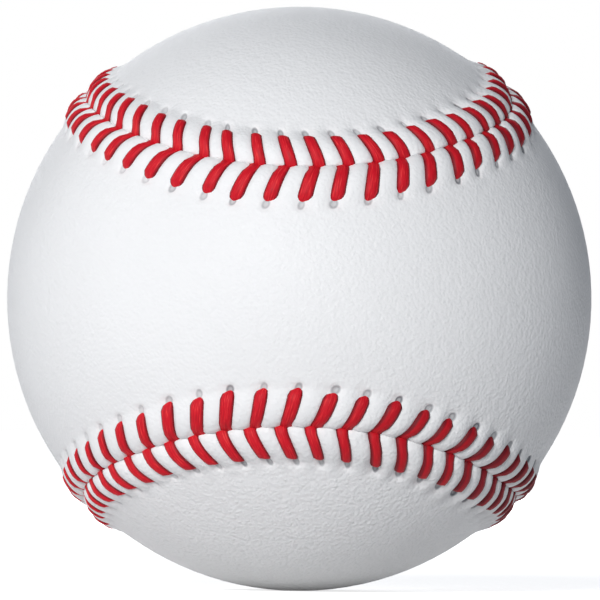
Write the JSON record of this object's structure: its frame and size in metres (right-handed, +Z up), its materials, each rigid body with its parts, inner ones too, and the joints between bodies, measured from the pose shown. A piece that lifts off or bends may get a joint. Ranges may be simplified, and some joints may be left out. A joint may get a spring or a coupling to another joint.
{
  "type": "baseball",
  "caption": "Leather-covered baseball: cushioned cork core, wool and cotton windings, two figure-of-eight cover panels joined by a raised seam of red double stitches",
  "frame": {"origin": "Centre of the ball, which is the centre of its bounding box", "axes": "+Z up, +X to the right; the waist of the front cover panel faces -Y, the waist of the back cover panel faces +Y, and the seam crosses half way between the X and Z axes"},
  "size_m": [0.0738, 0.074, 0.0738],
  "materials": {
    "cork": "pressed cork granules with a little rubber, matt",
    "black_rubber": "moulded, satin",
    "red_rubber": "moulded, satin",
    "grey_wool": "wound woollen yarn, matt",
    "white_wool": "wound woollen yarn, matt",
    "cotton": "fine wound cotton yarn, matt, tacky with rubber cement",
    "leather": "white full-grain cowhide with a fine pebble grain, satin",
    "thread": "flattened waxed cotton thread, red, satin"
  },
  "bodies": {
    "root": {"cork_core": "cork", "black_rubber_top": "black_rubber", "black_rubber_bottom": "black_rubber", "rubber_gasket": "red_rubber", "red_rubber_left": "red_rubber", "red_rubber_right": "red_rubber", "wool_winding_inner": "grey_wool", "wool_winding_middle": "white_wool", "wool_winding_outer": "grey_wool", "cotton_winding": "cotton", "cover_panel_front": "leather", "cover_panel_back": "leather", "stitches_front": "thread", "stitches_back": "thread"}
  },
  "joints": []
}
